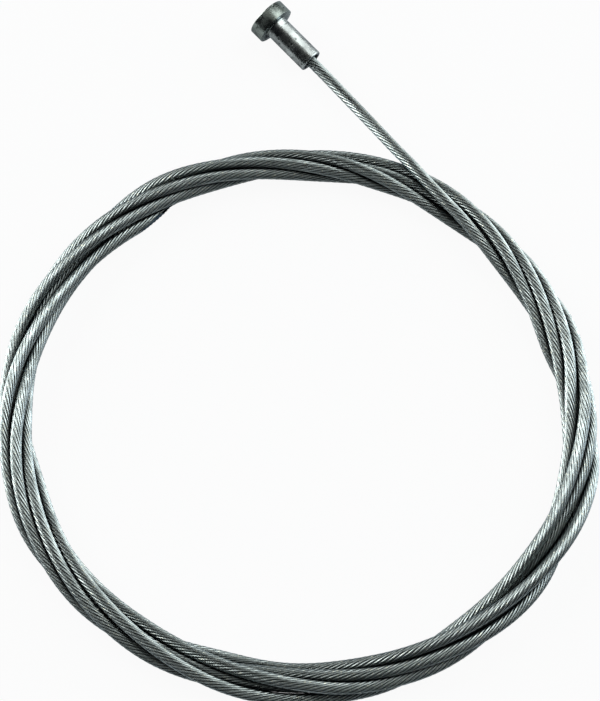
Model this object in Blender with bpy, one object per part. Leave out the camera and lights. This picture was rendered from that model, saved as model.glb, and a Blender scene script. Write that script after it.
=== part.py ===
# Inner cable for a bicycle: a coiled steel wire strand with a cast nipple on its outer end.
# Metres, +Z up. The cable lies flat on Z = 0, as it comes out of its packet.
import math

import bmesh
import bpy
from mathutils import Matrix, Vector

MM = 0.001

# Cable and coil
CABLE_DIAMETER = 1.6 * MM
TOUCH_GAP = 0.3 * MM
COIL_WIDTH = 75.5 * MM           # across the middle of the turns, along X
COIL_DEPTH = 72.4 * MM           # the same along Y: the coil is slightly oval
BUNDLE_WIDTH = 4.9 * MM          # all turns side by side
BUNDLE_HEIGHT = 4.5 * MM         # all turns on top of each other
BUNDLE_REST_WIDTH = 1.8 * MM     # flat band where the lowest wires lie on the surface
COIL_STEPS = 112
BUNDLE_SIDES = 13

# Nipple, along its own axis
HEAD_DIAMETER = 6.0 * MM
HEAD_THICKNESS = 2.1 * MM
HEAD_EDGE = 0.2 * MM
SHANK_DIAMETER = 3.5 * MM
SHANK_LENGTH = 7.3 * MM
SHANK_EDGE = 0.2 * MM
SEAT_FILLET = 0.18 * MM
NIPPLE_STEPS = 48
NIPPLE_HEADING = math.radians(-45.5)      # from its head towards the wire, seen from above
NIPPLE_PITCH = math.radians(7.0)          # it leans on its head's rim, so its shank dips

# Lead from the nipple to the coil
LEAD_LENGTH = 19.03 * MM                  # end to end, seen from above
LEAD_HEADING = math.radians(-50.57)
LEAD_CLOCK = math.radians(19.56)          # where it reaches the coil, clockwise from +Y
LEAD_END_HEIGHT = 3.525 * MM
LEAD_STEP = 2.0 * CABLE_DIAMETER
# Along the lead, sideways from the straight line, share of the rise to its end
LEAD_ROUTE = ((0.0, 0.0, 0.0), (0.15, 0.2 * MM, -0.18), (0.36, 0.285 * MM, -0.146),
              (0.58, 0.235 * MM, 0.184), (0.79, 0.125 * MM, 0.584), (1.0, 0.0, 1.0))


def clear_scene():
    for item in list(bpy.data.objects):
        bpy.data.objects.remove(item, do_unlink=True)


def make_material(name, colour, roughness):
    material = bpy.data.materials.new(name)
    material.use_nodes = True
    shader = material.node_tree.nodes["Principled BSDF"]
    shader.inputs["Base Color"].default_value = (*colour, 1.0)
    shader.inputs["Roughness"].default_value = roughness
    shader.inputs["Metallic"].default_value = 1.0
    return material


def link_mesh(name, bm, material, flat_angle):
    mesh = bpy.data.meshes.new(name)
    bmesh.ops.recalc_face_normals(bm, faces=bm.faces)
    bm.to_mesh(mesh)
    bm.free()
    mesh.shade_smooth()
    mesh.set_sharp_from_angle(angle=flat_angle)
    mesh.materials.append(material)
    item = bpy.data.objects.new(name, mesh)
    bpy.context.scene.collection.objects.link(item)
    return item


def coil_point(clock, outward):
    """Point on the coil's middle line at a clock angle, moved outward across the bundle."""
    half_x = COIL_WIDTH / 2
    half_y = COIL_DEPTH / 2
    middle = Vector((half_x * math.sin(clock), half_y * math.cos(clock), 0.0))
    normal = Vector((math.sin(clock) / half_x, math.cos(clock) / half_y, 0.0)).normalized()
    return middle + outward * normal


def lead_line():
    """Start and direction of the lead, in a frame with the coil's middle at its origin."""
    heading = Vector((math.cos(LEAD_HEADING), math.sin(LEAD_HEADING), 0.0))
    across = BUNDLE_WIDTH / 2 + TOUCH_GAP + CABLE_DIAMETER / 2
    start = coil_point(LEAD_CLOCK, across) - LEAD_LENGTH * heading
    # The rim at the head's seat lies on the surface
    head_height = HEAD_DIAMETER / 2 * math.cos(NIPPLE_PITCH)
    start.z = head_height - (SHANK_LENGTH + HEAD_EDGE / 2) * math.sin(NIPPLE_PITCH)
    return start, heading


def nipple_line():
    """Middle of the head's end face and direction to the wire, with the coil's middle at the origin."""
    exit_point, heading = lead_line()
    level = math.cos(NIPPLE_PITCH)
    axis = Vector((level * math.cos(NIPPLE_HEADING), level * math.sin(NIPPLE_HEADING),
                   -math.sin(NIPPLE_PITCH)))
    return exit_point - (SHANK_LENGTH + HEAD_THICKNESS) * axis, axis


def coil_centre():
    """The coil's middle, placed so that the whole cable is centred on the origin."""
    head_end, axis = nipple_line()
    radius = HEAD_DIAMETER / 2
    near = -(COIL_DEPTH + BUNDLE_WIDTH) / 2
    far = max(head_end.y + radius * math.sqrt(1 - axis.y ** 2), -near)
    right = (COIL_WIDTH + BUNDLE_WIDTH) / 2
    left = min(head_end.x - radius * math.sqrt(1 - axis.x ** 2), -right)
    return Vector((-(left + right) / 2, -(far + near) / 2, 0.0))


def bundle_section():
    """Outline of all the turns together: an oval that sits on a flat band."""
    half_width = BUNDLE_WIDTH / 2
    rest_share = BUNDLE_REST_WIDTH / BUNDLE_WIDTH
    start = math.acos(rest_share)
    half_height = BUNDLE_HEIGHT / (1.0 + math.sin(start))
    sweep = math.pi + 2 * start
    outline = []
    for step in range(BUNDLE_SIDES):
        turn = -start + sweep * step / (BUNDLE_SIDES - 1)
        height = half_height * (math.sin(start) + math.sin(turn))
        outline.append((half_width * math.cos(turn), max(height, 0.0)))
    return outline


def build_coil(material):
    bm = bmesh.new()
    radius = COIL_WIDTH / 2
    verts = [bm.verts.new((radius + across, 0.0, height)) for across, height in bundle_section()]
    edges = [bm.edges.new((verts[i], verts[(i + 1) % len(verts)])) for i in range(len(verts))]
    bmesh.ops.spin(bm, geom=verts + edges, cent=(0, 0, 0), axis=(0, 0, 1), dvec=(0, 0, 0),
                   angle=2 * math.pi, steps=COIL_STEPS, use_merge=True, use_duplicate=False)
    bmesh.ops.remove_doubles(bm, verts=bm.verts, dist=0.01 * MM)
    # The turned ring is round; its middle line is pressed slightly oval at the same bundle width
    for vert in bm.verts:
        clock = math.atan2(vert.co.x, vert.co.y)
        across = math.hypot(vert.co.x, vert.co.y) - radius
        place = coil_point(clock, across)
        vert.co = (place.x, place.y, vert.co.z)
    item = link_mesh("cable_coil", bm, material, math.radians(40))
    item.location = coil_centre()
    return item


def nipple_profile():
    """Half outline as (along the axis, radius), from the head's end face to the shank's end."""
    head = HEAD_DIAMETER / 2
    shank = SHANK_DIAMETER / 2
    seat = HEAD_THICKNESS
    end = HEAD_THICKNESS + SHANK_LENGTH
    return [
        (0.0, 0.0),
        (0.0, head - HEAD_EDGE),
        (HEAD_EDGE * 0.3, head - HEAD_EDGE * 0.3),
        (HEAD_EDGE, head),
        (seat - HEAD_EDGE * 0.5, head),
        (seat, head - HEAD_EDGE * 0.5),
        (seat, shank + SEAT_FILLET),
        (seat + SEAT_FILLET * 0.3, shank + SEAT_FILLET * 0.3),
        (seat + SEAT_FILLET, shank),
        (end - SHANK_EDGE, shank),
        (end, shank - SHANK_EDGE),
        (end, 0.0),
    ]


def build_nipple(material):
    head_end, axis = nipple_line()
    bm = bmesh.new()
    # The profile starts straight down, so a corner of the faceted head touches the surface
    verts = [bm.verts.new((along, 0.0, -radius)) for along, radius in nipple_profile()]
    edges = [bm.edges.new(pair) for pair in zip(verts, verts[1:])]
    bmesh.ops.spin(bm, geom=verts + edges, cent=(0, 0, 0), axis=(1, 0, 0), dvec=(0, 0, 0),
                   angle=2 * math.pi, steps=NIPPLE_STEPS, use_merge=True, use_duplicate=False)
    bmesh.ops.remove_doubles(bm, verts=bm.verts, dist=0.01 * MM)
    item = link_mesh("nipple", bm, material, math.radians(30))
    turn = Matrix.Rotation(NIPPLE_HEADING, 4, "Z") @ Matrix.Rotation(NIPPLE_PITCH, 4, "Y")
    item.matrix_world = Matrix.Translation(coil_centre() + head_end) @ turn
    return item


def smooth_line(points, step):
    """Points a step apart on a smooth curve through the route's own points."""
    line = []
    for i in range(len(points) - 1):
        before = points[max(i - 1, 0)]
        start = points[i]
        end = points[i + 1]
        after = points[min(i + 2, len(points) - 1)]
        count = max(1, round((end - start).length / step))
        for k in range(count):
            t = k / count
            line.append(0.5 * (2 * start + (end - before) * t
                               + (2 * before - 5 * start + 4 * end - after) * t ** 2
                               + (3 * start - before - 3 * end + after) * t ** 3))
    return line + [points[-1]]


def build_lead(material):
    exit_point, heading = lead_line()
    sideways = Vector((-heading.y, heading.x, 0.0))
    route = []
    for along, aside, rise in LEAD_ROUTE:
        reach = TOUCH_GAP + along * (LEAD_LENGTH - TOUCH_GAP)
        place = coil_centre() + exit_point + reach * heading + aside * sideways
        place.z += rise * (LEAD_END_HEIGHT - exit_point.z)
        route.append(place)
    points = smooth_line(route, LEAD_STEP)
    curve = bpy.data.curves.new("cable_lead", "CURVE")
    curve.dimensions = "3D"
    curve.bevel_depth = CABLE_DIAMETER / 2
    curve.bevel_resolution = 2
    curve.use_fill_caps = True
    spline = curve.splines.new("POLY")
    spline.points.add(len(points) - 1)
    for target, place in zip(spline.points, points):
        target.co = (*place, 1.0)
    spline.use_smooth = True
    curve.materials.append(material)
    item = bpy.data.objects.new("cable_lead", curve)
    bpy.context.scene.collection.objects.link(item)
    return item


def main():
    clear_scene()
    wire = make_material("galvanised wire", (0.52, 0.56, 0.54), 0.36)
    zinc = make_material("cast zinc", (0.45, 0.48, 0.47), 0.42)
    build_coil(wire)
    build_lead(wire)
    build_nipple(zinc)


main()
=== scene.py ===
# Looks for the inner cable: a coiled galvanised brake wire with a cast nipple on its outer end
import math

import bmesh
import bpy
import numpy as np
from mathutils import Matrix, Vector


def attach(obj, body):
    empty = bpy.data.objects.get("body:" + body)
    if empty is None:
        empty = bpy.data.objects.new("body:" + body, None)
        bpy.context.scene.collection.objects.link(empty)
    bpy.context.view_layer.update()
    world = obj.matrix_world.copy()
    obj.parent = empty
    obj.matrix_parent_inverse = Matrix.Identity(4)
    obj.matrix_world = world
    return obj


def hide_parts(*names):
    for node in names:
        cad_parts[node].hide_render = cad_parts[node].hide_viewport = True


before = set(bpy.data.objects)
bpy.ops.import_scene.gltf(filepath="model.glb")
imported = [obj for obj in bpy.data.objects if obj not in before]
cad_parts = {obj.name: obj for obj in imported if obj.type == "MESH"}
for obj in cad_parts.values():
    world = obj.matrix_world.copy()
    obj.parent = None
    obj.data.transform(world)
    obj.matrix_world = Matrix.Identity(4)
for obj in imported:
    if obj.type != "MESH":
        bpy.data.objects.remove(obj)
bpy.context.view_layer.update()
mm = 0.001


# Camera, at the photograph's angle
view = {
    "tilt": 18.0,             # degrees from straight down
    "opening": 22.0,          # vertical field of view, degrees
    "distance": 247.36,       # mm
    "aim": (0.067, -1.882),   # mm, on the floor
}


def setCamera():
    lens = bpy.data.cameras.new("camera")
    lens.sensor_fit = "VERTICAL"
    lens.angle = math.radians(view["opening"])
    lens.clip_start = 0.005
    lens.clip_end = 20
    tilt = math.radians(view["tilt"])
    camera = bpy.data.objects.new("camera", lens)
    aimX, aimY = view["aim"]
    back = view["distance"] * math.sin(tilt)
    up = view["distance"] * math.cos(tilt)
    camera.location = (aimX * mm, (aimY - back) * mm, up * mm)
    camera.rotation_euler = (tilt, 0, 0)
    bpy.context.scene.collection.objects.link(camera)
    bpy.context.scene.camera = camera


# Nipple, along its own axis, in mm
nipple = {
    "heading": -45.5,         # degrees, from its head towards the wire, seen from above
    "pitch": 7.0,             # degrees, its shank dips towards the floor
    "headRadius": 2.99,
    "headThick": 2.1,
    "headEdge": 0.09,
    "rearShare": 0.6,         # the head's rear edge, as a share of its front edge
    "dimple": 0.95,           # radius of the mark of the casting pin in the head
    "dimpleDeep": 0.25,
    "dimpleSide": (0.8, 0.72),    # shares of its depth and radius where its side turns
    "dimpleEdge": 0.08,
    "shankRadius": 1.745,
    "shankLength": 7.3,
    "shankEdge": 0.16,
    "endCrown": 0.02,         # how far the shank's outer rim lies behind its mouth
    "mouth": 1.32,            # radius of the cone that the wire leaves by
    "throat": 0.84,           # and where it grips the wire
    "mouthDeep": 1.1,
    "mouthEdge": 0.06,
    "throatEdge": 0.05,
    "plug": 0.1,              # depth of the floor that closes the throat
    "seatFillet": 0.2,
    "steps": 96,
}


def nippleAxis():
    # direction from the nipple's head to the wire
    heading = math.radians(nipple["heading"])
    pitch = math.radians(nipple["pitch"])
    return math.cos(pitch) * math.cos(heading), math.cos(pitch) * math.sin(heading), -math.sin(pitch)


# The way the wire lies, in mm
coil = {
    "centre": (0.0, -11.1467),
    "halfWidth": 37.75,       # the turns' middle line, along X
    "halfDepth": 36.2,        # the same along Y
    "thick": 1.6,             # the wire
    "first": 16.0,            # clock angle where the turns start, degrees from +Y
    "last": 2130.0,           # and where they end, nearly six turns later
    "step": 2.0,
    "leadEnds": 22,           # the turns are drawn from this clock angle, the lead up to it
    "crossingEnds": 56,       # up to here the wire follows the crossing below
    "midHeight": 2.3,
    "twistHeight": 1.5,
    "comeUp": -30,            # degrees of twist where a turn comes up at the outer edge
    "dive": 210,              # and where it dives at the inner edge
    "before": (40, -90),      # where the twist starts: degrees of clock before the turns, twist
    "after": (30, 90),        # where it ends: degrees of clock after them, more twist
    "sampleGap": 0.3,         # mm between points of the smoothed route
    # each pass over the bundle, to the nearest 5 degrees: clock angle where it comes up at the
    # outer edge, where it dives at the inner edge, and its depth, which is how far from the
    # bundle's middle it runs; where other turns hide it, its way is a guess
    "passes": (
        (15, 60, 1), (105, 150, 0.7), (205, 275, 1), (320, 380, 1), (410, 465, 1), (510, 585, 1),
        (655, 675, 0.35), (700, 760, 1), (780, 870, 1), (910, 940, 0.35), (990, 1065, 1),
        (1100, 1135, 0.35), (1160, 1220, 0.8), (1255, 1330, 1), (1370, 1445, 1), (1470, 1535, 1),
        (1570, 1635, 1), (1665, 1740, 1), (1805, 1880, 1), (1895, 1980, 1), (2045, 2120, 1),
    ),
    # round the clock, how far the bundle strays outwards and how wide it lies
    "sway": (
        (0, 0.2), (28, -0.4), (60, -0.9), (80, -0.9), (92, -0.4), (100, 0.2), (112, 1.1), (130, 0.6),
        (145, 0.5), (160, 0.5), (172, 0), (210, 0), (240, 0.2), (265, 0.5), (300, 0.3),
        (330, -0.1), (345, 0.1), (360, 0.2),
    ),
    "spread": (
        (0, 1.3), (28, 1.2), (60, 1.4), (80, 1.3), (95, 1.6), (114, 2.4), (130, 1.9), (145, 1.3),
        (155, 1.1), (170, 1.1), (190, 1.4), (205, 1.2), (240, 1), (260, 0.9), (280, 1.1),
        (300, 1.2), (330, 1.1), (345, 1.5), (360, 1.3),
    ),
    # the lead's own line across the bundle: clock angle, outwards, height
    "crossing": (
        (16, 5.0, 3.2), (19.56, 3.55, 3.53), (20.8, 3.0, 3.68), (23.5, 1.95, 3.96), (26.2, 1.0, 4.15),
        (28.9, 0.2, 4.2), (31.6, -0.42, 4.2), (34.6, -1.0, 4.2), (37.7, -1.5, 4.15), (41, -1.95, 4.0),
        (45.3, -2.5, 3.7), (52.9, -3.0, 3.0), (60, -2.95, 2.3),
    ),
}

# How the turns settle: drawn to their first lay, while those that touch push each other apart
settle = {
    "rounds": 500,
    "drawnRounds": 420,       # after these the turns only push
    "firmRounds": 300,        # after these they are drawn softly
    "firmPull": 0.03,         # share of the way back to the first lay in each round
    "softPull": 0.01,
    "upShare": 0.7,           # heights are drawn less
    "sink": 0.004,            # mm that the turns drop in each round
    "smoothing": 0.35,        # share of the way to the mean of both neighbours
    "boldness": 1.2,          # strength of a push, which is softer where many turns touch
    "turnsAhead": 5,          # how many turns on a touch is looked for
    "slips": (-2, -1, 0, 1, 2),    # points to either side there
    "heldOut": 36,            # clock angle up to which the wire keeps its outward offset
    "heldUp": 26,             # and its height
    "tiny": 1e-6,             # keeps the distance that pushes are divided by above zero
}

lead = {
    "exit": (1.6967, 41.0233, 2.0758),    # where the wire leaves the nipple
    "heading": -50.57,                    # degrees, seen from above
    "length": 19.03,                      # end to end, seen from above
    "endHeight": 3.525,
    "inside": 1.0,                        # how far it reaches into the nipple
    # along the lead, sideways in mm, share of the rise to its end
    "route": (
        (0.016, 0.01, -0.02), (0.15, 0.2, -0.18), (0.36, 0.285, -0.146),
        (0.58, 0.235, 0.184), (0.79, 0.125, 0.584), (1, 0, 1),
    ),
}


def smoothSteps(x, knotX, knotY):
    # a curve through knots that never turns back between them
    knotX = np.array(knotX, float)
    knotY = np.array(knotY, float)
    gap = np.diff(knotX)
    slope = np.diff(knotY) / gap
    tangent = np.zeros(len(knotX))
    tangent[1:-1] = 2 * slope[1:] * slope[:-1] / (slope[1:] + slope[:-1])
    tangent[0] = slope[0]
    tangent[-1] = slope[-1]
    i = np.clip(np.searchsorted(knotX, x) - 1, 0, len(gap) - 1)
    t = (x - knotX[i]) / gap[i]
    rise = knotY[i] * (1 + 2 * t) * (1 - t) ** 2 + knotY[i + 1] * t * t * (3 - 2 * t)
    lean = tangent[i] * gap[i] * t * (1 - t) ** 2 + tangent[i + 1] * gap[i] * t * t * (t - 1)
    return rise + lean


def firstLay(clock):
    # outward offset and height of the turns, twisted round each other as a rope
    early, startTwist = coil["before"]
    late, moreTwist = coil["after"]
    knotX = [coil["first"] - early]
    knotY = [startTwist]
    depths = [1]
    for number, (rising, diving, depth) in enumerate(coil["passes"]):
        knotX += [rising, diving]
        knotY += [360 * number + coil["comeUp"], 360 * number + coil["dive"]]
        depths += [depth, depth]
    knotX.append(coil["last"] + late)
    knotY.append(knotY[-1] + moreTwist)
    depths.append(1)
    phase = np.radians(smoothSteps(clock, knotX, knotY))
    depth = np.interp(clock, knotX, depths)
    sway = np.interp(clock % 360, *zip(*coil["sway"]))
    spread = np.interp(clock % 360, *zip(*coil["spread"]))
    outward = sway + spread * depth * np.cos(phase)
    height = coil["midHeight"] + coil["twistHeight"] * depth * np.sin(phase)
    crossClock, crossOut, crossHeight = zip(*coil["crossing"])
    crossing = clock < coil["crossingEnds"]
    outward[crossing] = np.interp(clock[crossing], crossClock, crossOut)
    height[crossing] = np.interp(clock[crossing], crossClock, crossHeight)
    return outward, height


def pushApart(outward, height):
    # how far each point of the turns moves so that turns that lie in each other part
    count = len(outward)
    perTurn = int(360 / coil["step"])
    arc = math.radians(coil["step"]) * (coil["halfWidth"] + coil["halfDepth"]) / 2
    moveOut = np.zeros(count)
    moveUp = np.zeros(count)
    touches = np.zeros(count)
    for ahead in range(1, settle["turnsAhead"] + 1):
        for slip in settle["slips"]:
            shift = perTurn * ahead + slip
            if shift >= count:
                continue
            apartOut = outward[shift:] - outward[:-shift]
            apartUp = height[shift:] - height[:-shift]
            across = np.sqrt(apartOut ** 2 + apartUp ** 2) + settle["tiny"]
            overlap = np.clip(coil["thick"] - np.sqrt(across ** 2 + (slip * arc) ** 2), 0, None)
            for move, apart in ((moveOut, apartOut), (moveUp, apartUp)):
                push = 0.5 * overlap * apart / across
                move[:-shift] -= push
                move[shift:] += push
            touches[:-shift] += overlap > 0
            touches[shift:] += overlap > 0
    share = settle["boldness"] / np.sqrt(np.maximum(touches, 1))
    return moveOut * share, moveUp * share


def settleTurns(clock, outward, height):
    # lets the turns push each other apart, until they rest on the floor and on each other
    wishOut = outward.copy()
    wishHeight = height.copy()
    heldOut = clock < settle["heldOut"]
    heldUp = clock < settle["heldUp"]
    for number in range(settle["rounds"]):
        moveOut, moveUp = pushApart(outward, height)
        outward = outward + moveOut
        height = height + moveUp
        if number < settle["drawnRounds"]:
            pull = settle["firmPull"] if number < settle["firmRounds"] else settle["softPull"]
            outward += pull * (wishOut - outward)
            height += settle["upShare"] * pull * (wishHeight - height) - settle["sink"]
        for line in (outward, height):
            line[1:-1] += settle["smoothing"] * (0.5 * (line[2:] + line[:-2]) - line[1:-1])
        outward[heldOut] = wishOut[heldOut]
        height[heldUp] = wishHeight[heldUp]
        height = np.maximum(height, coil["thick"] / 2)
    return outward, height


def coilPoints(clock, outward, height):
    # places in mm of points given by clock angle, outward offset and height
    angle = np.radians(clock)
    wide = coil["halfWidth"]
    deep = coil["halfDepth"]
    normal = np.stack([np.sin(angle) / wide, np.cos(angle) / deep], 1)
    normal /= np.linalg.norm(normal, axis=1)[:, None]
    middle = np.stack([wide * np.sin(angle), deep * np.cos(angle)], 1)
    flat = np.array(coil["centre"]) + middle + outward[:, None] * normal
    return np.column_stack([flat, height])


def leadPoints():
    # the lead, as the CAD script lays it, from just inside the nipple
    angle = math.radians(lead["heading"])
    along = np.array([math.cos(angle), math.sin(angle), 0.0])
    aside = np.array([-along[1], along[0], 0.0])
    start = np.array(lead["exit"])
    points = [start - lead["inside"] * np.array(nippleAxis())]
    for share, sideways, rise in lead["route"]:
        place = start + share * lead["length"] * along + sideways * aside
        place[2] += rise * (lead["endHeight"] - start[2])
        points.append(place)
    return points


def evenLine(points, gap):
    # points an even gap apart along a smooth line through the given ones
    points = np.array(points)
    reach = np.concatenate([[0], np.cumsum(np.linalg.norm(np.diff(points, axis=0), axis=1))])
    slope = np.gradient(points, reach, axis=0)
    count = int(round(reach[-1] / gap))
    at = np.linspace(0, reach[-1], count + 1)
    i = np.clip(np.searchsorted(reach, at) - 1, 0, len(reach) - 2)
    width = (reach[i + 1] - reach[i])[:, None]
    t = (at - reach[i])[:, None] / width
    rise = points[i] * (1 + 2 * t) * (1 - t) ** 2 + points[i + 1] * t * t * (3 - 2 * t)
    return rise + slope[i] * width * t * (1 - t) ** 2 + slope[i + 1] * width * t * t * (t - 1)


def wireRoute():
    clock = np.arange(coil["first"], coil["last"] + 0.1, coil["step"])
    outward, height = settleTurns(clock, *firstLay(clock))
    turns = coilPoints(clock, outward, height)
    return leadPoints() + list(turns[clock >= coil["leadEnds"]])


# Painted shade on the strand, where another turn lies close and on its underside, in mm from another
# turn's surface
paintedShade = {
    "reach": 0.52,            # where it starts
    "fade": 0.36,             # how much nearer it is full
    "under": 0.8,             # share on the underside
    "underFrom": 0.1,         # in radii below the strand's middle, where that starts
    "underFade": 0.5,         # and how much lower it is full
    "search": 4,              # radii within which another turn counts
    "ownRings": 8,            # rings to either side that are the turn itself
}

# The strand: a ring of twelve wires round a core, laid left-handed
strand = {
    "wires": 12,
    "wireMiddle": 0.64,       # mm, from the strand's middle to an outer wire's middle
    "wireRadius": 0.163,
    "lay": 12.2,              # mm along the strand for one full turn of a wire
    "ringGap": 0.69,          # mm between the mesh's rings
    "notch": 7.6,             # degrees from a wire's crest to its shoulder
    "shoulder": 0.25,         # how much of the groove's painted shade a shoulder has
}


def strandOutline():
    # one round of the strand as (radius, angle, how deep in the groove it lies, which sets the painted
    # shade there)
    outline = []
    wireAngle = 360 / strand["wires"]
    notch = strand["notch"]
    shoulder = strand["shoulder"]
    across = ((0, 0), (notch, shoulder), (wireAngle / 2, 1), (wireAngle - notch, shoulder))
    for wire in range(strand["wires"]):
        for offset, grooveShade in across:
            fromCrest = min(offset, wireAngle - offset)
            lean = math.radians(fromCrest)
            middle = strand["wireMiddle"]
            inside = strand["wireRadius"] ** 2 - (middle * math.sin(lean)) ** 2
            radius = middle * math.cos(lean) + math.sqrt(max(inside, 0))
            outline.append((radius, math.radians(wire * wireAngle + offset), grooveShade))
    return outline


def layStrand(route):
    # draws the strand along its route as a bevelled curve whose tilt twists it, made a mesh
    outline = strandOutline()
    shape = bpy.data.curves.new("strandOutline", "CURVE")
    ring = shape.splines.new("POLY")
    ring.points.add(len(outline) - 1)
    for point, (radius, angle, grooveShade) in zip(ring.points, outline):
        point.co = (radius * mm * math.cos(angle), radius * mm * math.sin(angle), 0, 1)
    ring.use_cyclic_u = True
    shapeObject = bpy.data.objects.new("strandOutline", shape)
    line = bpy.data.curves.new("innerWire", "CURVE")
    line.dimensions = "3D"
    line.twist_mode = "Z_UP"
    line.bevel_mode = "OBJECT"
    line.bevel_object = shapeObject
    spline = line.splines.new("POLY")
    spline.points.add(len(route) - 1)
    gap = np.linalg.norm(route[1] - route[0])
    for number, (point, place) in enumerate(zip(spline.points, route)):
        point.co = (*(place * mm), 1)
        point.tilt = -2 * math.pi * (number * gap / strand["lay"] % 1)    # whole turns are left out
    lineObject = bpy.data.objects.new("innerWireLine", line)
    bpy.context.scene.collection.objects.link(shapeObject)
    bpy.context.scene.collection.objects.link(lineObject)
    bpy.context.view_layer.update()
    drawn = lineObject.evaluated_get(bpy.context.evaluated_depsgraph_get())
    mesh = bpy.data.meshes.new_from_object(drawn)
    mesh.name = "innerWire"
    for helper in (lineObject, shapeObject):
        bpy.data.objects.remove(helper)
    markStrand(mesh, len(route), outline, gap)
    wire = bpy.data.objects.new("innerWire", mesh)
    bpy.context.scene.collection.objects.link(wire)
    return wire


def paintedShadeOf(mesh, rings, perRing):
    # painted shade, darkest where another turn lies close, and on the strand's underside
    flat = np.zeros(len(mesh.vertices) * 3, np.float32)
    mesh.vertices.foreach_get("co", flat)
    places = flat.reshape(rings, perRing, 3) / mm
    middles = places.mean(axis=1)
    radius = coil["thick"] / 2
    shade = np.zeros((rings, perRing), np.float32)
    numbers = np.arange(rings)
    for number in range(rings):
        apart = np.linalg.norm(middles - middles[number], axis=1)
        elsewhere = np.abs(numbers - number) > paintedShade["ownRings"]
        others = middles[(apart < paintedShade["search"] * radius) & elsewhere]
        under = (middles[number, 2] - places[number, :, 2]) / radius
        shade[number] = paintedShade["under"] * np.clip((under - paintedShade["underFrom"]) / paintedShade["underFade"], 0, 1)
        if len(others):
            offsets = places[number][:, None] - others[None]
            nearest = np.linalg.norm(offsets, axis=2).min(axis=1) - radius
            close = np.clip((paintedShade["reach"] - nearest) / paintedShade["fade"], 0, 1)
            shade[number] = np.maximum(shade[number], close)
    return shade


def markStrand(mesh, rings, outline, gap):
    # writes the painted shade in the grooves between wires and between the turns, and a map along and
    # round the strand, for the finish
    perRing = len(outline)
    if len(mesh.vertices) != rings * perRing:
        raise RuntimeError(f"the strand has {len(mesh.vertices)} points, not {rings} rings of {perRing}")
    # painted shade in the grooves between wires, kept at each point
    grooveShades = np.tile([grooveShade for radius, angle, grooveShade in outline], rings)
    grooveShade = mesh.attributes.new("grooveShade", "FLOAT", "POINT")
    grooveShade.data.foreach_set("value", grooveShades.astype(np.float32))
    # painted shade between the turns and on the underside, kept at each point
    shade = mesh.attributes.new("shade", "FLOAT", "POINT")
    shade.data.foreach_set("value", paintedShadeOf(mesh, rings, perRing).ravel())
    corners = np.zeros(len(mesh.loops), int)
    mesh.loops.foreach_get("vertex_index", corners)
    along = (corners // perRing) * gap * mm
    around = (corners % perRing) / perRing
    # faces across the seam end at 1, not at 0
    for face in mesh.polygons:
        if len(face.vertices) > 4:
            continue
        places = list(face.loop_indices)
        if around[places].max() > 0.9:
            for place in places:
                if around[place] == 0:
                    around[place] = 1
    while mesh.uv_layers:
        mesh.uv_layers.remove(mesh.uv_layers[0])
    layer = mesh.uv_layers.new(name="laid")
    layer.data.foreach_set("uv", np.stack([along, around], 1).astype(np.float32).ravel())
    closeEnds(mesh)
    mesh.shade_smooth()


# The far end, nipped off on a slant that leaves its outer side longer
farCut = {
    "from": (-19.67, 17.38, 0.6),      # mm, the corner where the cut starts on the inner side
    "heading": 46.0,                   # degrees, the way the cut runs, seen from above
    "rings": 12,                       # only these last rings are cut
}


def cutFarEnd(bm):
    corner = Vector(farCut["from"]) * mm
    heading = math.radians(farCut["heading"])
    normal = Vector((math.sin(heading), -math.cos(heading), 0))
    bm.verts.ensure_lookup_table()
    near = bm.verts[-farCut["rings"] * len(strandOutline()):]
    faces = {face for vert in near for face in vert.link_faces}
    edges = {edge for face in faces for edge in face.edges}
    verts = {vert for face in faces for vert in face.verts}
    bmesh.ops.bisect_plane(
        bm, geom=list(verts) + list(edges) + list(faces), dist=0.000001,
        plane_co=corner, plane_no=normal, clear_outer=True,
    )


def fillRims(bm):
    rims = [edge for edge in bm.edges if edge.is_boundary]
    bmesh.ops.holes_fill(bm, edges=rims, sides=0)


def closeEnds(mesh):
    bm = bmesh.new()
    bm.from_mesh(mesh)
    fillRims(bm)
    cutFarEnd(bm)
    fillRims(bm)
    bmesh.ops.recalc_face_normals(bm, faces=bm.faces)
    bm.to_mesh(mesh)
    bm.free()


def buildWire():
    route = evenLine(evenLine(wireRoute(), coil["sampleGap"]), strand["ringGap"])
    wire = layStrand(route)
    return wire, route


def nippleOutline():
    # half outline as (along, radius, bevel at that corner), from the head's middle to the throat
    seat = nipple["headThick"]
    end = seat + nipple["shankLength"]
    sideDeep, sideWide = nipple["dimpleSide"]
    return [
        (nipple["dimpleDeep"], 0.0, 0),
        (nipple["dimpleDeep"] * sideDeep, nipple["dimple"] * sideWide, nipple["dimpleEdge"]),
        (0.0, nipple["dimple"], nipple["dimpleEdge"]),
        (0.0, nipple["headRadius"], nipple["headEdge"]),
        (seat, nipple["headRadius"], nipple["headEdge"] * nipple["rearShare"]),
        (seat, nipple["shankRadius"], nipple["seatFillet"]),
        (end - nipple["endCrown"], nipple["shankRadius"], nipple["shankEdge"]),
        (end, nipple["mouth"], nipple["mouthEdge"]),
        (end - nipple["mouthDeep"], nipple["throat"], nipple["throatEdge"]),
        (end - nipple["mouthDeep"] - nipple["plug"], 0.0, 0),
    ]


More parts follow.
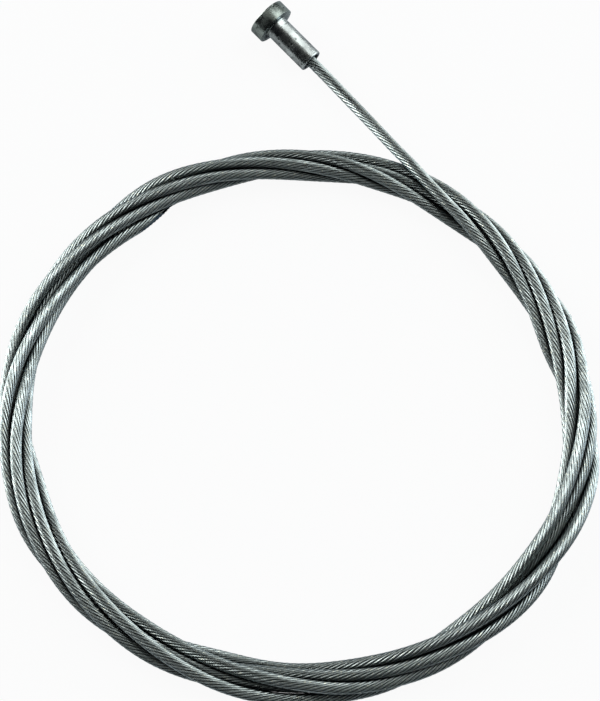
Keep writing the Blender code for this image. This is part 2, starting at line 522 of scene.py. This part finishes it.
def buildNipple():
    mesh = bpy.data.meshes.new("castNipple")
    bm = bmesh.new()
    outline = nippleOutline()
    points = [bm.verts.new((along, 0, -radius)) for along, radius, bevel in outline]
    lines = [bm.edges.new(pair) for pair in zip(points, points[1:])]
    bmesh.ops.spin(
        bm, geom=points + lines, cent=(0, 0, 0), axis=(1, 0, 0), dvec=(0, 0, 0),
        angle=2 * math.pi, steps=nipple["steps"], use_merge=True, use_duplicate=False,
    )
    bmesh.ops.remove_doubles(bm, verts=bm.verts, dist=0.001)
    bmesh.ops.recalc_face_normals(bm, faces=bm.faces)
    for along, radius, bevel in outline:
        if bevel == 0:
            continue
        corner = [edge for edge in bm.edges if onRing(edge, along, radius)]
        bmesh.ops.bevel(
            bm, geom=corner, offset=bevel, offset_type="OFFSET", segments=4,
            profile=0.5, affect="EDGES", material=-1,
        )
    bmesh.ops.recalc_face_normals(bm, faces=bm.faces)
    bm.to_mesh(mesh)
    bm.free()
    for name, values in (
        ("along", [vert.co.x for vert in mesh.vertices]),
        ("across", [math.hypot(vert.co.y, vert.co.z) for vert in mesh.vertices]),
    ):
        layer = mesh.attributes.new(name, "FLOAT", "POINT")
        layer.data.foreach_set("value", values)
    placeNipple(mesh)
    mesh.shade_smooth()
    mesh.set_sharp_from_angle(angle=math.radians(50))
    piece = bpy.data.objects.new("castNipple", mesh)
    bpy.context.scene.collection.objects.link(piece)
    return piece


def onRing(edge, along, radius):
    # true for an edge that runs round the nipple at that place on its outline
    for vert in edge.verts:
        if abs(vert.co.x - along) > 0.002 or abs(math.hypot(vert.co.y, vert.co.z) - radius) > 0.002:
            return False
    return True


def placeNipple(mesh):
    # puts the nipple's shape in its place on the wire
    turn = Matrix.Rotation(math.radians(nipple["heading"]), 4, "Z")
    turn = turn @ Matrix.Rotation(math.radians(nipple["pitch"]), 4, "Y")
    length = nipple["headThick"] + nipple["shankLength"]
    start = Vector(lead["exit"]) - turn @ Vector((length, 0, 0))
    mesh.transform(Matrix.Diagonal((mm, mm, mm, 1)) @ Matrix.Translation(start) @ turn)


# Finishes
wireFinish = {
    "pale": (0.56, 0.62, 0.61),
    "dull": (0.27, 0.305, 0.295),
    "rubbed": (0.80, 0.80, 0.66),      # specks on the crests where the zinc is bright
    # colour of the painted shade in the grooves between wires
    "grooveShade": (0.016, 0.018, 0.02),
    # colour of the painted shade between the turns and under the strand
    "paintedShade": (0.012, 0.013, 0.014),
    "edgeTint": (0.62, 0.8, 1.0),      # a painted bluish reflection: a little bluer at a grazing angle
    "roughness": (0.26, 0.44),
    "blotches": 520.0,                 # scales of the noises, per metre
    "specks": 3600.0,
    "grain": 9000.0,
    "drawing": (450, 90, 1),           # drawing marks, along the strand and round it
    "bump": (0.3, 0.00003),            # strength, and height in metres
}
nippleFinish = {
    "pale": (0.60, 0.64, 0.63),
    "dull": (0.33, 0.35, 0.345),
    "stain": (0.10, 0.115, 0.11),
    # colour of the painted shade under the head and in the mouth
    "paintedShade": (0.012, 0.013, 0.013),
    "worn": (0.72, 0.74, 0.72),        # edges rubbed bright
    "headTint": (0.66, 0.7, 0.66),     # the head is dirtier than the shank
    "edgeTint": (0.58, 0.6, 0.64),     # it mirrors less at a grazing angle
    "roughness": (0.2, 0.36),
    "clouds": 420.0,                   # scales of the noises, per metre
    "patches": 1100.0,
    "grain": 5200.0,
    "pits": 900.0,
    "bump": (0.5, 0.00005),            # strength, and height in metres
    "ringPeriod": 0.16,                # mm, turning marks towards the shank's end
    "ringsFrom": 7.6,                  # mm from the head's face
    "headRim": (0.18, 0.2),            # mm across and along that are rubbed
    "endRim": (0.2, 0.18),
    "corner": (0.8, 0.4, 1.8),         # painted shade under the head: mm across and along, strength
    "upperSide": (1.2, 0.25),          # mm above the middle where that is least, and its share
    "mouthShade": (0.22, 0.05),         # painted shade in the mouth: mm outside and inside the mouth's rim where it fades
    "relief": (0.5, 0.25, 1.2),        # heights of the grain, the turning marks and the pits
}


def newMaterial(name):
    material = bpy.data.materials.new(name)
    material.use_nodes = True
    tree = material.node_tree
    return material, tree, tree.nodes["Principled BSDF"]


def addNode(tree, kind, **settings):
    node = tree.nodes.new(kind)
    for name, value in settings.items():
        if name in node.inputs:
            node.inputs[name].default_value = value
        else:
            setattr(node, name, value)
    return node


def mixColours(tree, factor, first, second, blend="MIX"):
    mix = addNode(tree, "ShaderNodeMix", data_type="RGBA", blend_type=blend)
    for socket, value in ((mix.inputs[0], factor), (mix.inputs[6], first), (mix.inputs[7], second)):
        if isinstance(value, bpy.types.NodeSocket):
            tree.links.new(value, socket)
        elif isinstance(value, tuple):
            socket.default_value = (*value, 1)
        else:
            socket.default_value = value
    return mix.outputs[2]


def mapRange(tree, value, low, high, newLow, newHigh):
    node = addNode(tree, "ShaderNodeMapRange")
    tree.links.new(value, node.inputs["Value"])
    ends = {"From Min": low, "From Max": high, "To Min": newLow, "To Max": newHigh}
    for name, number in ends.items():
        node.inputs[name].default_value = number
    return node.outputs["Result"]


def mathNode(tree, operation, *values):
    node = addNode(tree, "ShaderNodeMath", operation=operation)
    for socket, value in zip(node.inputs, values):
        if isinstance(value, bpy.types.NodeSocket):
            tree.links.new(value, socket)
        else:
            socket.default_value = value
    return node.outputs[0]


def noiseOn(tree, vector, scale, detail=3.0):
    noise = addNode(tree, "ShaderNodeTexNoise", Scale=scale, Detail=detail)
    tree.links.new(vector, noise.inputs["Vector"])
    return noise.outputs["Fac"]


def readMark(tree, name):
    # a value that the mesh carries at its points
    return addNode(tree, "ShaderNodeAttribute", attribute_name=name).outputs["Fac"]


def joinMetal(tree, shader, finish, coat, roughness, height):
    # gives a metal its colour, its roughness and its fine relief
    tree.links.new(coat, shader.inputs["Base Color"])
    tree.links.new(roughness, shader.inputs["Roughness"])
    strength, distance = finish["bump"]
    bump = addNode(tree, "ShaderNodeBump", Strength=strength, Distance=distance)
    tree.links.new(height, bump.inputs["Height"])
    tree.links.new(bump.outputs["Normal"], shader.inputs["Normal"])
    shader.inputs["Metallic"].default_value = 1.0
    # on the wire this tint is a painted bluish reflection at a grazing angle
    shader.inputs["Specular Tint"].default_value = (*finish["edgeTint"], 1)


def galvanisedWire():
    material, tree, shader = newMaterial("galvanisedWire")
    place = addNode(tree, "ShaderNodeTexCoord")
    grooveShade = readMark(tree, "grooveShade")
    # the map runs along the strand and round it, so each wire keeps its own number
    split = addNode(tree, "ShaderNodeSeparateXYZ")
    tree.links.new(place.outputs["UV"], split.inputs[0])
    counted = mathNode(tree, "MULTIPLY_ADD", split.outputs["Y"], strand["wires"], 0.5)
    ownTone = addNode(tree, "ShaderNodeTexWhiteNoise", noise_dimensions="1D")
    tree.links.new(mathNode(tree, "FLOOR", counted), ownTone.inputs["W"])
    # drawing marks run along each wire
    stretched = addNode(tree, "ShaderNodeMapping")
    stretched.inputs["Scale"].default_value = wireFinish["drawing"]
    tree.links.new(place.outputs["UV"], stretched.inputs["Vector"])
    blotch = noiseOn(tree, place.outputs["Object"], wireFinish["blotches"])
    speck = noiseOn(tree, place.outputs["Object"], wireFinish["specks"], 1.0)
    grain = noiseOn(tree, place.outputs["Object"], wireFinish["grain"])
    streak = noiseOn(tree, stretched.outputs["Vector"], 1.0)
    dull = wireFinish["dull"]
    pale = wireFinish["pale"]
    wireTone = ownTone.outputs["Value"]
    coat = mixColours(tree, mapRange(tree, blotch, 0.34, 0.66, 0.0, 1.0), dull, pale)
    coat = mixColours(tree, mapRange(tree, streak, 0.35, 0.7, 0.0, 0.6), coat, pale)
    coat = mixColours(tree, mapRange(tree, wireTone, 0.0, 1.0, 0.0, 0.35), coat, dull)
    coat = mixColours(tree, mapRange(tree, speck, 0.62, 0.72, 0.0, 0.8), coat, wireFinish["rubbed"])
    # painted shade in the grooves between the wires
    coat = mixColours(tree, mapRange(tree, grooveShade, 0.15, 1.0, 0.0, 1.0), coat, wireFinish["grooveShade"])
    # painted shade between the turns and on the strand's underside
    shade = mapRange(tree, readMark(tree, "shade"), 0.0, 1.0, 0.0, 0.96)
    coat = mixColours(tree, shade, coat, wireFinish["paintedShade"])
    low, high = wireFinish["roughness"]
    joinMetal(tree, shader, wireFinish, coat, mapRange(tree, blotch, 0.3, 0.7, high, low), grain)
    return material


def nearTo(tree, value, target, reach):
    # 1 where the value is the target's, falling to 0 at the reach
    apart = mathNode(tree, "ABSOLUTE", mathNode(tree, "SUBTRACT", value, target))
    return mapRange(tree, apart, 0.0, reach, 1.0, 0.0)


def castZinc():
    material, tree, shader = newMaterial("castZinc")
    place = addNode(tree, "ShaderNodeTexCoord").outputs["Object"]
    along = readMark(tree, "along")
    across = readMark(tree, "across")
    seat = nipple["headThick"]
    end = seat + nipple["shankLength"]
    cloud = noiseOn(tree, place, nippleFinish["clouds"], 6.0)
    patch = noiseOn(tree, place, nippleFinish["patches"], 2.0)
    grain = noiseOn(tree, place, nippleFinish["grain"])
    cells = addNode(tree, "ShaderNodeTexVoronoi", Scale=nippleFinish["pits"])
    tree.links.new(place, cells.inputs["Vector"])
    pit = mapRange(tree, cells.outputs["Distance"], 0.1, 0.2, 1.0, 0.0)
    # rubbed rims at the head's face and the shank's end
    headAcross, headAlong = nippleFinish["headRim"]
    atHead = nearTo(tree, across, nipple["headRadius"], headAcross)
    rims = mathNode(tree, "MULTIPLY", atHead, nearTo(tree, along, 0.0, headAlong))
    endAcross, endAlong = nippleFinish["endRim"]
    atShank = nearTo(tree, across, nipple["shankRadius"], endAcross)
    endRim = mathNode(tree, "MULTIPLY", atShank, nearTo(tree, along, end, endAlong))
    patchy = mapRange(tree, patch, 0.4, 0.65, 0.1, 0.7)
    worn = mathNode(tree, "MULTIPLY", mathNode(tree, "MAXIMUM", rims, endRim), patchy)
    # painted shade in the corner under the head, most on its lower side, and in the mouth round the wire
    split = addNode(tree, "ShaderNodeSeparateXYZ")
    tree.links.new(place, split.inputs[0])
    middle = lead["exit"][2] * mm
    above, least = nippleFinish["upperSide"]
    lowSideShade = mapRange(tree, split.outputs["Z"], middle, middle + above * mm, 1.0, least)
    cornerAcross, cornerAlong, strength = nippleFinish["corner"]
    underHead = nearTo(tree, across, nipple["shankRadius"], cornerAcross)
    corner = mathNode(tree, "MULTIPLY", underHead, nearTo(tree, along, seat, cornerAlong))
    corner = mathNode(tree, "MINIMUM", mathNode(tree, "MULTIPLY", corner, strength), 1.0)
    corner = mathNode(tree, "MULTIPLY", corner, lowSideShade)
    outside, inside = nippleFinish["mouthShade"]
    inMouth = mapRange(tree, across, nipple["mouth"] + outside, nipple["mouth"] - inside, 0.0, 1.0)
    mouth = mathNode(tree, "MULTIPLY", inMouth, mapRange(tree, along, seat, seat + 1.0, 0.0, 1.0))
    paintedRecessShade = mathNode(tree, "MAXIMUM", corner, mouth)
    # turning marks
    ringTurn = mathNode(tree, "MULTIPLY", along, 2 * math.pi / nippleFinish["ringPeriod"])
    wave = mathNode(tree, "SINE", ringTurn)
    turned = mapRange(tree, along, nippleFinish["ringsFrom"], end, 0.0, 1.0)
    marks = mathNode(tree, "MULTIPLY", wave, turned)
    cloudy = mapRange(tree, cloud, 0.36, 0.62, 0.0, 1.0)
    coat = mixColours(tree, cloudy, nippleFinish["dull"], nippleFinish["pale"])
    coat = mixColours(tree, mapRange(tree, patch, 0.58, 0.75, 0.0, 0.8), coat, nippleFinish["stain"])
    coat = mixColours(tree, mapRange(tree, marks, -1.0, 1.0, 0.35, 0.0), coat, nippleFinish["stain"])
    head = mapRange(tree, along, seat, seat + 0.3, 1.0, 0.0)
    coat = mixColours(tree, head, coat, nippleFinish["headTint"], "MULTIPLY")
    coat = mixColours(tree, pit, coat, nippleFinish["stain"])
    coat = mixColours(tree, worn, coat, nippleFinish["worn"])
    # painted shade in the corner under the head and in the mouth
    coat = mixColours(tree, paintedRecessShade, coat, nippleFinish["paintedShade"])
    grainHigh, marksHigh, pitsDeep = nippleFinish["relief"]
    height = mathNode(tree, "MULTIPLY", grain, grainHigh)
    height = mathNode(tree, "ADD", height, mathNode(tree, "MULTIPLY", marks, marksHigh))
    height = mathNode(tree, "SUBTRACT", height, mathNode(tree, "MULTIPLY", pit, pitsDeep))
    low, high = nippleFinish["roughness"]
    joinMetal(tree, shader, nippleFinish, coat, mapRange(tree, patch, 0.3, 0.7, low, high), height)
    return material


# Floor and light
studio = {
    "floorSize": 3.0,
    "paper": (0.62, 0.635, 0.655),
    # how much of the paper's white is its own, for the camera and in the metal's mirror
    "paperGlow": (("Is Camera Ray", 0.94), ("Is Glossy Ray", 0.07), ("Is Transmission Ray", 0.07)),
    "air": (0.014, 0.015, 0.017),
    # soft panels on the far side, left and right, a low one at the right and a weak one overhead:
    # azimuth from the right-hand side, elevation, distance in metres, size, power, colour
    "lamps": {
        "left": {
            "azimuth": 150, "elevation": 23, "away": 0.8, "size": (0.6, 0.7), "power": 7.8,
            "colour": (0.98, 1.0, 0.99),
        },
        "right": {
            "azimuth": 32, "elevation": 36, "away": 0.8, "size": (0.6, 1.16), "power": 6.0,
            "colour": (0.97, 1.0, 0.99),
        },
        "side": {
            "azimuth": 12, "elevation": 12, "away": 0.8, "size": (0.6, 0.34), "power": 2.6,
            "colour": (0.8, 0.9, 1.0),
        },
        "top": {
            "azimuth": 90, "elevation": 80, "away": 0.8, "size": (0.75, 0.3), "power": 0.2,
            "colour": (1.0, 1.0, 0.92),
        },
    },
}


def paperFloor():
    material, tree, shader = newMaterial("paperFloor")
    shader.inputs["Base Color"].default_value = (*studio["paper"], 1)
    shader.inputs["Roughness"].default_value = 0.9
    glow = addNode(tree, "ShaderNodeEmission", Strength=1.0)
    path = addNode(tree, "ShaderNodeLightPath")
    share = 0.0
    for kind, amount in studio["paperGlow"]:
        part = mathNode(tree, "MULTIPLY", path.outputs[kind], amount)
        share = mathNode(tree, "MAXIMUM", share, part)
    mix = addNode(tree, "ShaderNodeMixShader")
    tree.links.new(share, mix.inputs[0])
    tree.links.new(shader.outputs[0], mix.inputs[1])
    tree.links.new(glow.outputs[0], mix.inputs[2])
    tree.links.new(mix.outputs[0], tree.nodes["Material Output"].inputs["Surface"])
    return material


def buildStudio():
    bm = bmesh.new()
    bmesh.ops.create_grid(bm, x_segments=1, y_segments=1, size=studio["floorSize"] / 2)
    mesh = bpy.data.meshes.new("floor")
    bm.to_mesh(mesh)
    bm.free()
    mesh.materials.append(paperFloor())
    floor = bpy.data.objects.new("floor", mesh)
    bpy.context.scene.collection.objects.link(floor)
    world = bpy.data.worlds.new("air")
    world.use_nodes = True
    world.node_tree.nodes["Background"].inputs["Color"].default_value = (*studio["air"], 1)
    bpy.context.scene.world = world
    for name, setting in studio["lamps"].items():
        lamp = bpy.data.lights.new(name, "AREA")
        lamp.shape = "RECTANGLE"
        lamp.size, lamp.size_y = setting["size"]
        lamp.energy = setting["power"]
        lamp.color = setting["colour"]
        azimuth = math.radians(setting["azimuth"])
        elevation = math.radians(setting["elevation"])
        level = math.cos(elevation)
        way = Vector((level * math.cos(azimuth), level * math.sin(azimuth), math.sin(elevation)))
        item = bpy.data.objects.new(name, lamp)
        item.location = way * setting["away"]
        item.rotation_euler = (-way).to_track_quat("-Z", "Y").to_euler()
        bpy.context.scene.collection.objects.link(item)


def dress(piece, material):
    piece.data.materials.clear()
    piece.data.materials.append(material)


setCamera()
wire, route = buildWire()
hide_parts("cable_coil", "cable_lead")
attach(wire, "root")
dress(wire, galvanisedWire())

body = buildNipple()
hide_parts("nipple")
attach(body, "root")
dress(body, castZinc())
print("nipple: cast and placed")

buildStudio()
bpy.context.scene.view_settings.view_transform = "Standard"
print("studio: floor and lamps")
